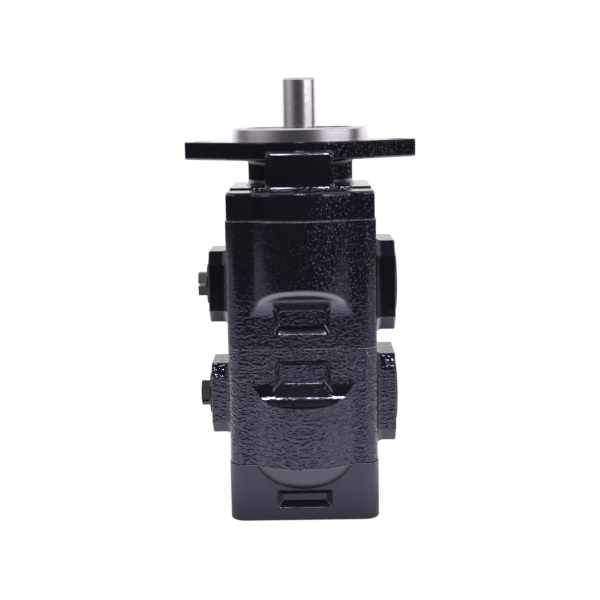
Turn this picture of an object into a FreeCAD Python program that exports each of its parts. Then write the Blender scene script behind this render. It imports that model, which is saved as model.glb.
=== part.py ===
import FreeCAD, Part
import math
import os
import re
import Sketcher

# Tandem external gear pump. Origin: centre of the pilot on the mounting face, +Z out along the drive
# shaft, +X towards the suction ports, -Y from the drive gears to the idler gears. Millimetres, degrees.

DIMENSIONS = [
    # mounting flange and pilot
    ("pilot_radius", 50.8),
    ("pilot_height", 9.7),
    ("pilot_chamfer", 1.2),
    ("pilot_recess_radius", 40),
    ("pilot_recess_floor", 2.5),
    ("flange_thickness", 13),
    ("flange_edge_rounding", 1.2),
    ("flange_core_radius", 59),
    ("flange_ear_radius", 13.5),
    ("flange_bolt_spacing", 146),
    ("flange_bolt_hole_radius", 7.15),
    # front cover between the flange and the gear bodies
    ("neck_radius", 39),
    ("neck_fillet", 4),
    ("rib_half_width", 24.3),
    ("rib_reach", 64),
    ("rib_drop", 6.5),
    ("rib_rounding", 3.5),
    ("rib_foot_fillet", 4),
    ("shoulder_thickness", 19.8),
    ("shoulder_rounding", 2),
    ("shoulder_step", 1),
    ("shoulder_step_place", 41),
    ("shoulder_step_margin", 1.3),
    # lengths of the castings along the shaft
    ("front_cover_length", 53.3),
    ("front_body_length", 90.7),
    ("rear_body_length", 83.3),
    ("rear_cover_length", 41.7),
    # outline that the castings share
    ("body_half_width", 53),
    ("body_half_depth", 57.5),
    ("body_corner_radius", 11),
    ("cover_inset", 0.7),
    ("rear_cover_growth", 0.5),
    ("seam_chamfer", 0.4),
    ("bulge_radius", 50),
    ("bulge_height", 13.5),
    ("bulge_blend", 11),
    ("scoop_radius", 18),
    ("arch_lip_rounding", 6),
    ("waist_half_length", 22.5),
    ("rear_bulge_length", 18.6),
    ("rear_bulge_taper_radius", 40),
    ("rear_bulge_sink", 0.5),
    ("foot_rounding", 1.5),
    # ports and their bosses
    ("port_boss_reach", 67.5),
    ("port_boss_fillet", 5),
    ("port_boss_rounding", 1.2),
    ("front_port_rise", 40),
    ("rear_port_drop", 43),
    ("pressure_boss_half_size", 26),
    ("pressure_boss_corner", 9),
    ("pressure_port_radius", 13.5),
    ("pressure_port_depth", 20),
    ("pressure_passage_radius", 9),
    ("suction_boss_half_size", 32.5),
    ("suction_boss_corner", 10.3),
    ("suction_port_radius", 20.6),
    ("suction_port_depth", 21),
    ("suction_passage_radius", 13),
    # recesses in the front of the castings
    ("recess_depth", 4.5),
    ("recess_flare_reach", 8),
    ("recess_floor_rounding", 1),
    ("recess_rim_rounding", 0.8),
    # gears and their shafts
    ("gear_centre_distance", 47.5),
    ("gear_teeth", 12),
    ("pressure_angle", 25),
    ("addendum_factor", 1),
    ("dedendum_factor", 1.2),
    ("tooth_thinning", 0.12),
    ("tip_clearance", 0.12),
    ("side_clearance", 0.06),
    ("front_gear_width", 40),
    ("rear_gear_width", 28),
    ("rear_body_wall", 10),
    ("journal_radius", 15),
    ("journal_clearance", 0.04),
    ("journal_end_gap", 1.5),
    ("journal_chamfer", 1),
    ("bush_wall", 2),
    ("block_clearance", 0.05),
    ("relief_depth", 1.5),
    ("relief_half_width", 5),
    ("block_seal_radius", 24),
    ("block_seal_width", 4),
    ("block_seal_depth", 2.4),
    ("block_backup_width", 1.4),
    ("block_backup_gap", 1),
    # drive shaft
    ("shaft_radius", 12.7),
    ("shaft_projection", 46),
    ("shaft_chamfer", 1.5),
    ("seal_land_radius", 14),
    ("seal_land_top", 1.5),
    ("keyway_width", 6.35),
    ("keyway_depth", 3.2),
    ("keyway_length", 32),
    # coupling between the two drive gears
    ("sleeve_radius", 14.4),
    ("sleeve_half_length", 12),
    ("sleeve_wall_clearance", 1),
    ("sleeve_end_gap", 0.5),
    ("spline_count", 6),
    ("spline_root_radius", 8.6),
    ("spline_tip_radius", 10.6),
    ("spline_half_width", 2),
    ("spline_clearance", 0.1),
    # shaft seals
    ("seal_bore_radius", 22),
    ("seal_bore_depth", 22),
    ("shaft_seal_length", 7),
    ("seal_lip_clearance", 0.05),
    ("seal_case_wall", 1.2),
    ("seal_web_thickness", 1.6),
    ("seal_lip_depth", 3),
    ("seal_spacing", 1),
    ("shaft_bore_radius", 15.5),
    ("ring_thickness", 1.75),
    ("ring_groove_depth", 1.5),
    ("ring_radial_width", 4),
    ("ring_place", 2),
    ("ring_clearance", 0.1),
    # body seals, screws and dowels
    ("body_seal_radius", 32),
    ("body_seal_width", 3),
    ("body_seal_depth", 2.2),
    ("tie_bolt_side_margin", 13.5),
    ("tie_bolt_end_margin", 13),
    ("tie_bolt_radius", 6),
    ("tie_bolt_hole_radius", 6.5),
    ("tie_bolt_head_radius", 9),
    ("tie_bolt_head_height", 12),
    ("tie_bolt_socket_radius", 5.77),
    ("tie_bolt_socket_depth", 6),
    ("tie_bolt_sink_radius", 10.3),
    ("tie_bolt_sink_depth", 15),
    ("tie_bolt_grip", 14),
    ("tie_bolt_end_gap", 2),
    ("washer_radius", 10),
    ("washer_thickness", 2),
    ("dowel_side_margin", 9.5),
    ("dowel_radius", 4),
    ("dowel_half_length", 6),
    ("dowel_end_gap", 0.5),
    # transport plugs
    ("plug_thread_gap", 0.15),
    ("pressure_plug_flange_radius", 15),
    ("pressure_plug_flange_height", 2.2),
    ("pressure_plug_head_radius", 9.5),
    ("pressure_plug_head_height", 6.8),
    ("pressure_plug_length", 13),
    ("pressure_plug_slot_width", 2.3),
    ("pressure_plug_slot_depth", 5),
    ("lower_plug_turn", 30),
    ("suction_plug_cap_radius", 22.5),
    ("suction_plug_cap_height", 1.8),
    ("suction_plug_length", 12),
    ("plug_wall", 2.5),
    ("plug_cap_wall", 3),
    ("plug_rim_rounding", 1.4),
    # how far cutting outlines reach past the surface that they open
    ("cut_margin", 1),
    # front recesses: half widths, and heights above (front body) or below the joint named
    ("front_recess_floor_half_width", 16.5),
    ("front_recess_flat_half_width", 19.9),
    ("front_recess_floor_bottom", 15.7),
    ("front_recess_floor_top", 27),
    ("front_recess_flat_bottom", 10.4),
    ("front_recess_flat_top", 30.7),
    ("front_recess_corner", 4.5),
    ("rear_recess_floor_half_width", 16),
    ("rear_recess_flat_half_width", 20.1),
    ("rear_recess_floor_top", 12.2),
    ("rear_recess_floor_bottom", 25.1),
    ("rear_recess_flat_top", 7.7),
    ("rear_recess_flat_bottom", 29.7),
    ("rear_recess_corner", 4.5),
    ("cover_recess_floor_half_width", 15.7),
    ("cover_recess_flat_half_width", 19.6),
    ("cover_recess_floor_top", 22.9),
    ("cover_recess_floor_bottom", 28.1),
    ("cover_recess_flat_top", 19.4),
    ("cover_recess_flat_bottom", 31.8),
    ("cover_recess_corner", 1.4),
]

document = FreeCAD.newDocument("TandemGearPump")
sizes = document.addObject("Spreadsheet::Sheet", "Sizes")
for row, (alias, number) in enumerate(DIMENSIONS, start=1):
    sizes.set(f"A{row}", alias)
    sizes.set(f"B{row}", str(number))
    sizes.setAlias(f"B{row}", alias)
document.recompute()

alias_pattern = re.compile(r"\b(" + "|".join(alias for alias, number in DIMENSIONS) + r")\b")

# heights of the joints between the castings, from the mounting face down
seam_one = "(-front_cover_length)"
seam_two = f"({seam_one} - front_body_length)"
seam_three = f"({seam_two} - rear_body_length)"
foot = f"({seam_three} - rear_cover_length)"
shoulder_top = f"({seam_one} + shoulder_thickness)"

# places across the shaft: the drive gears lie on the axis, the idlers at -gear_centre_distance
idler_y = "(-gear_centre_distance)"
middle_y = "(-gear_centre_distance / 2)"
front_flat_y = f"({middle_y} - body_half_depth)"
rear_flat_y = f"({middle_y} + body_half_depth)"
bulge_offset = "(body_half_depth + bulge_height - bulge_radius)"

# the blend beside a bulge ends on the flat, before the casting's rounded corner
widest_blend = ("((body_half_width - body_corner_radius - cut_margin)^2 / (2 * bulge_height)"
                " - bulge_radius + bulge_height / 2)")

# gear pockets and what stands in them
gear_module = "(gear_centre_distance / gear_teeth)"
gear_tip_radius = f"(gear_centre_distance / 2 + addendum_factor * {gear_module})"
gear_root_radius = f"(gear_centre_distance / 2 - dedendum_factor * {gear_module})"
pocket_radius = f"({gear_tip_radius} + tip_clearance)"
rear_pocket_top = f"({seam_two} - rear_body_wall)"
front_block_length = "((front_body_length - front_gear_width) / 2 - side_clearance)"
rear_block_length = "((rear_body_length - rear_body_wall - rear_gear_width) / 2 - side_clearance)"
front_gear_bottom = f"({seam_one} - (front_body_length + front_gear_width) / 2)"
rear_gear_bottom = f"({rear_pocket_top} - (rear_body_length - rear_body_wall + rear_gear_width) / 2)"
bush_bore_radius = "(journal_radius + journal_clearance)"
bush_outer_radius = f"({bush_bore_radius} + bush_wall)"
sleeve_middle = f"({seam_two} - rear_body_wall / 2)"
front_port_z = f"({seam_two} + front_port_rise)"
rear_port_z = f"({seam_two} - rear_port_drop)"

# dowels and tie bolts keep their distance from the sides
dowel_x = "(body_half_width - dowel_side_margin)"
tie_bolt_places = [
    (f"({side} * (body_half_width - tie_bolt_side_margin))",
     f"({middle_y} + {way} * (body_half_depth - tie_bolt_end_margin))")
    for side in (-1, 1) for way in (-1, 1)
]

sub_parts = []


def bound(expression):
    """puts the sheet's name before each alias"""
    return alias_pattern.sub(r"Sizes.\g<0>", str(expression))


def value(expression):
    result = sizes.evalExpression(bound(expression))
    return float(getattr(result, "Value", result))


def vector(x, y, z="0"):
    return FreeCAD.Vector(value(x), value(y), value(z))


def new_body(label, y="0"):
    body = document.addObject("PartDesign::Body", label)
    body.Label = label
    body.setExpression("Placement.Base.y", bound(y))
    sub_parts.append(body)
    return body


def new_sketch(body, name, plane, offset="0"):
    """sketch on an origin plane of its own body, moved along the plane's normal by offset"""
    sketch = body.newObject("Sketcher::SketchObject", name)
    support = [feature for feature in body.Origin.OriginFeatures if feature.Role == plane]
    sketch.AttachmentSupport = [(support[0], "")]
    sketch.MapMode = "FlatFace"
    sketch.setExpression("AttachmentOffset.Base.z", bound(offset))
    return sketch


def constrain(sketch, kind, arguments, expression):
    index = sketch.addConstraint(Sketcher.Constraint(kind, *arguments, value(expression)))
    sketch.setExpression(f"Constraints[{index}]", bound(expression))


def fix_point(sketch, geometry, point, x, y):
    constrain(sketch, "DistanceX", (-1, 1, geometry, point), x)
    constrain(sketch, "DistanceY", (-1, 1, geometry, point), y)


def circle(sketch, x, y, radius):
    geometry = sketch.addGeometry(Part.Circle(vector(x, y), FreeCAD.Vector(0, 0, 1), value(radius)))
    fix_point(sketch, geometry, 3, x, y)
    constrain(sketch, "Radius", (geometry,), radius)


def outline(sketch, points):
    """closed outline through points (x, y) or (x, y, radius): a radius makes an arc from that point to
    the next one, the short way round, bulging to the right of the way it runs when positive"""
    corners = [vector(*point[:2]) for point in points]
    edges = []
    for number, point in enumerate(points):
        start, end = corners[number], corners[(number + 1) % len(points)]
        if len(point) == 2:
            edges.append(sketch.addGeometry(Part.LineSegment(start, end)))
        else:
            crown = crown_of(start, end, value(point[2]))
            edges.append(sketch.addGeometry(Part.Arc(start, crown, end)))
    for number, edge in enumerate(edges):
        before = edges[number - 1]
        ends = end_at(sketch, before, corners[number]), end_at(sketch, edge, corners[number])
        sketch.addConstraint(Sketcher.Constraint("Coincident", before, ends[0], edge, ends[1]))
        fix_point(sketch, edge, ends[1], *points[number][:2])
    for number, point in enumerate(points):
        chord = (corners[(number + 1) % len(points)] - corners[number]).Length
        if len(point) == 3 and 2 * abs(value(point[2])) > chord * 1.001:
            constrain(sketch, "Radius", (edges[number],), f"abs({point[2]})")


def crown_of(start, end, radius):
    half = (end - start) * 0.5
    right = FreeCAD.Vector(half.y, -half.x, 0).normalize()
    sagitta = abs(radius) - math.sqrt(max(radius * radius - half.Length * half.Length, 0))
    return start + half + right * math.copysign(sagitta, radius)


def end_at(sketch, edge, corner):
    """which end of an edge lies at a corner: a sketch turns a clockwise arc round, so either can"""
    return 1 if sketch.getPoint(edge, 1).distanceToPoint(corner) < 1e-6 else 2


def rectangle(sketch, left, right, low, high):
    outline(sketch, [(left, low), (right, low), (right, high), (left, high)])


def hexagon(sketch, x, y, radius, turn="0"):
    angles = [f"({turn} + {60 * number})" for number in range(6)]
    outline(sketch, [(f"{x} + {radius} * cos({a})", f"{y} + {radius} * sin({a})") for a in angles])


def stadium(sketch, radius):
    """outline at one distance round the drive axis and the idler axis"""
    outline(sketch, [(radius, idler_y), (radius, "0", radius), (f"-({radius})", "0"),
                     (f"-({radius})", idler_y, radius)])


def pad(body, name, sketch, length, backward=False):
    feature = body.newObject("PartDesign::Pad", name)
    feature.Profile = sketch
    feature.Reversed = backward
    feature.setExpression("Length", bound(length))
    return feature


def pocket(body, name, sketch, length, forward=False, both_ways=False):
    """cuts against the sketch plane's normal, or along it when forward, and checks that it cut"""
    document.recompute()
    before = body.Shape.Volume
    feature = body.newObject("PartDesign::Pocket", name)
    feature.Profile = sketch
    feature.Reversed = forward
    feature.Midplane = both_ways
    feature.setExpression("Length", bound(length))
    document.recompute()
    if body.Shape.Volume > before - 0.01:
        raise ValueError(f"{body.Label}: {name} cuts nothing")
    return feature


def revolve(body, name, sketch):
    feature = body.newObject("PartDesign::Revolution", name)
    feature.Profile = sketch
    feature.ReferenceAxis = (sketch, ["V_Axis"])
    feature.Angle = 360
    return feature


def polar_pattern(body, name, feature, count):
    axis = [item for item in body.Origin.OriginFeatures if item.Role == "Z_Axis"][0]
    pattern = body.newObject("PartDesign::PolarPattern", name)
    pattern.Originals = [feature]
    pattern.Axis = (axis, [""])
    pattern.Angle = 360
    pattern.setExpression("Occurrences", bound(count))
    body.Tip = pattern
    return pattern


def dress(body, kind, name, size, wanted):
    """Fillet or Chamfer on the tip's edges for which wanted(edge) is true"""
    document.recompute()
    base = body.Tip
    names = [f"Edge{n}" for n, edge in enumerate(base.Shape.Edges, start=1) if wanted(edge)]
    if not names:
        raise ValueError(f"{body.Label}: {name} finds no edge")
    feature = body.newObject(f"PartDesign::{kind}", name)
    feature.Base = (base, names)
    feature.setExpression("Radius" if kind == "Fillet" else "Size", bound(size))
    return feature


def ends_of(edge):
    return [vertex.Point for vertex in edge.Vertexes]


def is_upright(edge):
    """true for a straight edge along the shaft"""
    ends = ends_of(edge)
    return len(ends) == 2 and abs(ends[0].x - ends[1].x) < 1e-4 and abs(ends[0].y - ends[1].y) < 1e-4


def all_at(edge, axis, place):
    return all(abs(getattr(point, axis) - place) < 1e-3 for point in ends_of(edge))


# castings

def casting_section(body, bottom, height, inset="0"):
    """the rounded block that every casting has, from bottom up over height"""
    side = f"(body_half_width - {inset})"
    front = f"({front_flat_y} + {inset})"
    rear = f"({rear_flat_y} - {inset})"
    sketch = new_sketch(body, "section", "XY_Plane", bottom)
    rectangle(sketch, f"-{side}", side, front, rear)
    pad(body, "block", sketch, height)
    dress(body, "Fillet", "corner_rounding", "body_corner_radius", is_upright)


def bulges(body, bottom, height, inset="0"):
    """the round wall over each gear pocket, front and rear, blended into the flats"""
    for name, way in (("front", "-1"), ("rear", "1")):
        sketch = new_sketch(body, f"{name}_bulge_outline", "XY_Plane", bottom)
        circle(sketch, "0", f"({middle_y} + {way} * {bulge_offset})", f"(bulge_radius - {inset})")
        pad(body, f"{name}_bulge", sketch, height)
    inner_reach = value("body_half_width - body_corner_radius") - 1
    half_depth = value(f"body_half_depth - {inset}")

    def beside_bulge(edge):
        point = ends_of(edge)[0]
        off_middle = abs(abs(point.y - value(middle_y)) - half_depth)
        return is_upright(edge) and abs(point.x) < inner_reach and off_middle < 1e-3

    dress(body, "Fillet", "bulge_blending", f"min(bulge_blend; {widest_blend})", beside_bulge)


def seam_edge(body, name, joint):
    """breaks the outer edge of a casting where it meets the next one"""
    place = value(joint)
    dress(body, "Chamfer", name, "seam_chamfer", lambda edge: all_at(edge, "z", place))


def scoop(body, way, waist, towards):
    """hollows the end of a bulge: way is -1 in front and 1 behind, towards is 1 when the bulge lies
    above the waist and -1 when it lies below"""
    flat = f"({middle_y} + {way} * body_half_depth)"
    out = f"({flat} + {way} * scoop_radius)"
    beyond = f"({out} + {way} * cut_margin)"
    end = f"({waist} + {towards} * scoop_radius)"
    sketch = new_sketch(body, "scoop_outline", "YZ_Plane")
    outline(sketch, [(flat, waist, f"({-way * towards} * scoop_radius)"), (out, end), (beyond, end),
                     (beyond, f"({waist} - {towards} * cut_margin)")])
    pocket(body, "scoop", sketch, "2 * body_half_width", both_ways=True)


def arch_lip(body, way, waist):
    """rounds the edge over the scoop in a bulge that stands above the waist"""
    crown = value(f"{middle_y} + {way} * (body_half_depth + bulge_height)")
    lowest, highest = value(waist), value(f"{waist} + scoop_radius")

    def on_lip(edge):
        box = edge.BoundBox
        outermost = box.YMin if way < 0 else box.YMax
        return abs(outermost - crown) < 0.01 and lowest < box.ZMin and box.ZMax < highest

    dress(body, "Fillet", "arch_lip", "arch_lip_rounding", on_lip)


def recess(body, prefix, floor, flat):
    """drafted rectangular recess in the front face; floor and flat are its low and high limits"""
    spread = "((recess_depth + recess_flare_reach) / recess_depth)"
    floor_y, mouth_y = f"({front_flat_y} + recess_depth)", f"({front_flat_y} - recess_flare_reach)"
    sections = []
    for level, y in (("floor", floor_y), ("mouth", mouth_y)):
        half = f"{prefix}_recess_floor_half_width"
        low, high = floor
        if level == "mouth":
            low, high = (f"({a} + ({b} - {a}) * {spread})" for a, b in zip(floor, flat))
            half = f"({half} + ({prefix}_recess_flat_half_width - {half}) * {spread})"
        sketch = new_sketch(body, f"recess_{level}", "XZ_Plane", f"-{y}")
        rectangle(sketch, f"-{half}", half, low, high)
        sections.append(sketch)
    document.recompute()
    before = body.Shape.Volume
    loft = body.newObject("PartDesign::SubtractiveLoft", "recess")
    loft.Profile = sections[0]
    loft.Sections = [sections[1]]
    loft.Ruled = True
    document.recompute()
    if body.Shape.Volume > before - 0.01:
        raise ValueError(f"{body.Label}: the recess cuts nothing")

    floor_place, flat_place = value(floor_y), value(front_flat_y) + 1e-3
    corner = f"{prefix}_recess_corner"
    side = value(f"{prefix}_recess_flat_half_width + {corner}")
    lowest, highest = value(f"{flat[0]} - {corner}"), value(f"{flat[1]} + {corner}")

    def leads_to_floor(edge):
        depths = sorted(point.y for point in ends_of(edge))
        return abs(depths[-1] - floor_place) < 1e-3 and depths[0] < flat_place

    def on_rim(edge):
        inside = all(abs(p.x) < side and lowest < p.z < highest for p in ends_of(edge))
        return inside and all(point.y < flat_place for point in ends_of(edge))

    dress(body, "Fillet", "recess_corners", corner, leads_to_floor)
    dress(body, "Fillet", "recess_floor_edge", "recess_floor_rounding",
          lambda edge: all_at(edge, "y", floor_place))
    dress(body, "Fillet", "recess_rim", "recess_rim_rounding", on_rim)


def port(body, kind, z):
    """octagonal boss with its port and the passage to the gear pocket: pressure at -X, suction at +X"""
    way = -1 if kind == "pressure" else 1
    half = f"{kind}_boss_half_size"
    leg = f"({half} - {kind}_boss_corner)"
    root = "(body_half_width - port_boss_fillet)"
    sketch = new_sketch(body, f"{kind}_boss_outline", "YZ_Plane", f"({way} * {root})")
    corners = [(half, leg), (leg, half), (f"-{leg}", half), (f"-{half}", leg),
               (f"-{half}", f"-{leg}"), (f"-{leg}", f"-{half}"), (leg, f"-{half}"), (half, f"-{leg}")]
    outline(sketch, [(f"({middle_y} + {across})", f"({z} + {up})") for across, up in corners])
    pad(body, f"{kind}_boss", sketch, f"port_boss_reach - {root}", backward=way < 0)
    wall, reach = way * value("body_half_width"), value(half) + 1e-3
    centre_y, centre_z = value(middle_y), value(z)

    def at_root(edge):
        inside = all(abs(p.y - centre_y) < reach and abs(p.z - centre_z) < reach for p in ends_of(edge))
        return all_at(edge, "x", wall) and inside

    dress(body, "Fillet", f"{kind}_boss_blending", "port_boss_fillet", at_root)
    face = way * value("port_boss_reach")
    dress(body, "Fillet", f"{kind}_boss_edges", "port_boss_rounding", lambda edge: all_at(edge, "x", face))
    for name, radius, depth in (
        ("port", f"{kind}_port_radius", f"{kind}_port_depth"),
        ("passage", f"{kind}_passage_radius", "(port_boss_reach - gear_centre_distance / 4)"),
    ):
        sketch = new_sketch(body, f"{kind}_{name}_outline", "YZ_Plane", f"({way} * port_boss_reach)")
        circle(sketch, middle_y, z, radius)
        pocket(body, f"{kind}_{name}", sketch, depth, forward=way < 0)


def gear_pocket(body, start, depth, upward=False):
    for name, y in (("drive", "0"), ("idler", idler_y)):
        sketch = new_sketch(body, f"{name}_pocket_outline", "XY_Plane", start)
        circle(sketch, "0", y, pocket_radius)
        pocket(body, f"{name}_pocket", sketch, depth, forward=upward)


def seal_groove(body, joint, upward=False):
    sketch = new_sketch(body, "seal_groove_outline", "XY_Plane", joint)
    stadium(sketch, "(body_seal_radius + body_seal_width / 2)")
    stadium(sketch, "(body_seal_radius - body_seal_width / 2)")
    pocket(body, "seal_groove", sketch, "body_seal_depth", forward=upward)


def holes(body, name, places, radius, start, depth, upward=False):
    sketch = new_sketch(body, f"{name}_outline", "XY_Plane", start)
    for x, y in places:
        circle(sketch, x, y, radius)
    pocket(body, name, sketch, depth, forward=upward)


def dowel_holes(body, joint, upward=False):
    places = [(f"-{dowel_x}", middle_y), (dowel_x, middle_y)]
    holes(body, "dowel_holes", places, "dowel_radius", joint, "dowel_half_length + dowel_end_gap", upward)


def front_cover():
    body = new_body("front_cover")
    casting_section(body, seam_one, "shoulder_thickness", "cover_inset")
    bulges(body, seam_one, "shoulder_thickness", "cover_inset")
    seam_edge(body, "rear_seam_edge", seam_one)
    top = value(shoulder_top)
    dress(body, "Fillet", "shoulder_edge", "shoulder_rounding", lambda edge: all_at(edge, "z", top))

    sketch = new_sketch(body, "rib_outline", "XY_Plane", shoulder_top)
    rectangle(sketch, "-rib_half_width", "rib_half_width", "-rib_reach", "0")
    pad(body, "rib", sketch, f"-rib_drop - {shoulder_top}")
    rib_front, rib_top = value("-rib_reach"), value("-rib_drop")
    dress(body, "Fillet", "rib_corners", "rib_rounding",
          lambda edge: is_upright(edge) and all_at(edge, "y", rib_front))
    dress(body, "Fillet", "rib_edge", "rib_rounding",
          lambda edge: all_at(edge, "z", rib_top) and not all_at(edge, "y", 0))
    reach = value("rib_half_width") + 1e-3

    def rib_foot(edge):
        beside_rib = all(abs(point.x) < reach and point.y < 1e-3 for point in ends_of(edge))
        return all_at(edge, "z", top) and beside_rib and not all_at(edge, "y", 0)

    dress(body, "Fillet", "rib_foot", "rib_foot_fillet", rib_foot)

    low_land = "shoulder_rounding"
    sketch = new_sketch(body, "step_outline", "XY_Plane", f"({shoulder_top} - {low_land})")
    side = "(body_half_width - cover_inset - shoulder_step_margin)"
    rectangle(sketch, f"-{side}", side, "-shoulder_step_place",
              f"({rear_flat_y} - cover_inset - shoulder_step_margin)")
    pad(body, "shoulder_step_land", sketch, f"{low_land} + shoulder_step")

    land = f"({shoulder_top} + shoulder_step)"
    in_land = f"({land} - shoulder_step / 2)"
    underside = "(-flange_thickness)"
    in_flange = f"({underside} / 2)"
    foot_of_neck = "(neck_radius + neck_fillet)"
    sketch = new_sketch(body, "neck_profile", "XZ_Plane")
    outline(sketch, [
        ("0", in_land), (foot_of_neck, in_land),
        (foot_of_neck, land, "-neck_fillet"), ("neck_radius", f"({land} + neck_fillet)"),
        ("neck_radius", f"({underside} - neck_fillet)", "-neck_fillet"), (foot_of_neck, underside),
        (foot_of_neck, in_flange), ("0", in_flange),
    ])
    revolve(body, "neck", sketch)

    tangent = "acos((flange_core_radius - flange_ear_radius) / (flange_bolt_spacing / 2))"
    core_x, core_y = f"(flange_core_radius * cos({tangent}))", f"(flange_core_radius * sin({tangent}))"
    ear_x = f"(flange_bolt_spacing / 2 + flange_ear_radius * cos({tangent}))"
    ear_y = f"(flange_ear_radius * sin({tangent}))"
    sketch = new_sketch(body, "flange_outline", "XY_Plane", underside)
    outline(sketch, [
        (ear_x, f"-{ear_y}", "flange_ear_radius"), (ear_x, ear_y), (core_x, core_y, "flange_core_radius"),
        (f"-{core_x}", core_y), (f"-{ear_x}", ear_y, "flange_ear_radius"), (f"-{ear_x}", f"-{ear_y}"),
        (f"-{core_x}", f"-{core_y}", "flange_core_radius"), (core_x, f"-{core_y}"),
    ])
    pad(body, "flange", sketch, "flange_thickness")
    rim_radius, under = value("flange_core_radius") - 1e-3, value(underside)

    def on_flange_rim(edge):
        outside = all(math.hypot(point.x, point.y) > rim_radius for point in ends_of(edge))
        return all_at(edge, "z", under) and outside

    dress(body, "Fillet", "flange_edge", "flange_edge_rounding", on_flange_rim)
    sketch = new_sketch(body, "pilot_outline", "XY_Plane")
    circle(sketch, "0", "0", "pilot_radius")
    pad(body, "pilot", sketch, "pilot_height")
    pilot_top = value("pilot_height")
    dress(body, "Chamfer", "pilot_edge", "pilot_chamfer", lambda edge: all_at(edge, "z", pilot_top))

    axis = [("0", "0")]
    recess_floor = "pilot_height + pilot_recess_floor"
    holes(body, "pilot_recess", axis, "pilot_recess_radius", "pilot_height", recess_floor)
    holes(body, "seal_bore", axis, "seal_bore_radius", "pilot_height", f"{recess_floor} + seal_bore_depth")
    holes(body, "ring_groove", axis, "seal_bore_radius + ring_groove_depth", ring_groove_top,
          "ring_thickness + ring_clearance")
    holes(body, "shaft_bore", axis, "shaft_bore_radius", "pilot_height", f"pilot_height - {seam_one}")
    ears = [("-flange_bolt_spacing / 2", "0"), ("flange_bolt_spacing / 2", "0")]
    holes(body, "flange_bolt_holes", ears, "flange_bolt_hole_radius", "0", "flange_thickness")
    holes(body, "tie_bolt_threads", tie_bolt_places, "tie_bolt_radius", seam_one,
          "tie_bolt_grip + tie_bolt_end_gap", upward=True)
    dowel_holes(body, seam_one, upward=True)


def front_body():
    body = new_body("front_body")
    waist = f"({seam_two} + waist_half_length)"
    casting_section(body, seam_two, "front_body_length")
    bulges(body, waist, f"{seam_one} - {waist}")
    for way in (-1, 1):
        scoop(body, way, waist, 1)
        arch_lip(body, way, waist)
    seam_edge(body, "front_seam_edge", seam_one)
    seam_edge(body, "rear_seam_edge", seam_two)
    recess(body, "front",
           (f"({seam_two} + front_recess_floor_bottom)", f"({seam_two} + front_recess_floor_top)"),
           (f"({seam_two} + front_recess_flat_bottom)", f"({seam_two} + front_recess_flat_top)"))
    port(body, "pressure", front_port_z)
    port(body, "suction", front_port_z)
    gear_pocket(body, seam_one, "front_body_length")
    seal_groove(body, seam_one)
    holes(body, "tie_bolt_holes", tie_bolt_places, "tie_bolt_hole_radius", seam_one, "front_body_length")
    dowel_holes(body, seam_one)
    dowel_holes(body, seam_two, upward=True)


def rear_body():
    body = new_body("rear_body")
    waist = f"({seam_two} - waist_half_length)"
    casting_section(body, seam_three, "rear_body_length")
    bulges(body, seam_three, f"{waist} - {seam_three}")
    for way in (-1, 1):
        scoop(body, way, waist, -1)
    seam_edge(body, "front_seam_edge", seam_two)
    seam_edge(body, "rear_seam_edge", seam_three)
    recess(body, "rear",
           (f"({seam_two} - rear_recess_floor_bottom)", f"({seam_two} - rear_recess_floor_top)"),
           (f"({seam_two} - rear_recess_flat_bottom)", f"({seam_two} - rear_recess_flat_top)"))
    port(body, "pressure", rear_port_z)
    port(body, "suction", rear_port_z)
    gear_pocket(body, seam_three, "rear_body_length - rear_body_wall", upward=True)
    holes(body, "sleeve_bore", [("0", "0")], "sleeve_radius + sleeve_wall_clearance", seam_two,
          "rear_body_wall")
    seal_groove(body, seam_two)
    seal_groove(body, seam_three, upward=True)
    holes(body, "tie_bolt_holes", tie_bolt_places, "tie_bolt_hole_radius", seam_two, "rear_body_length")
    dowel_holes(body, seam_two)
    dowel_holes(body, seam_three, upward=True)


def rear_cover():
    body = new_body("rear_cover")
    casting_section(body, foot, "rear_cover_length", "-rear_cover_growth")
    low = value(foot)
    dress(body, "Fillet", "foot_edge", "foot_rounding", lambda edge: all_at(edge, "z", low))
    taper_end = f"({seam_three} - rear_bulge_length)"
    sunk_radius = "(bulge_radius - bulge_height + rear_cover_growth - rear_bulge_sink)"
    for name, way in (("front", "-1"), ("rear", "1")):
        place = f"-({middle_y} + {way} * {bulge_offset})"
        sketch = new_sketch(body, f"{name}_bulge_profile", "XZ_Plane", place)
        outline(sketch, [
            ("0", taper_end), (sunk_radius, taper_end, "rear_bulge_taper_radius"),
            ("(bulge_radius + rear_cover_growth)", seam_three), ("0", seam_three),
        ])
        revolve(body, f"{name}_bulge", sketch)
    seam_edge(body, "front_seam_edge", seam_three)
    recess(body, "cover",
           (f"({seam_three} - cover_recess_floor_bottom)", f"({seam_three} - cover_recess_floor_top)"),
           (f"({seam_three} - cover_recess_flat_bottom)", f"({seam_three} - cover_recess_flat_top)"))
    holes(body, "tie_bolt_holes", tie_bolt_places, "tie_bolt_hole_radius", seam_three, "rear_cover_length")
    holes(body, "tie_bolt_sinks", tie_bolt_places, "tie_bolt_sink_radius", foot,
          "tie_bolt_sink_depth", upward=True)
    dowel_holes(body, seam_three)


# gears, shafts and coupling

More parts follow.
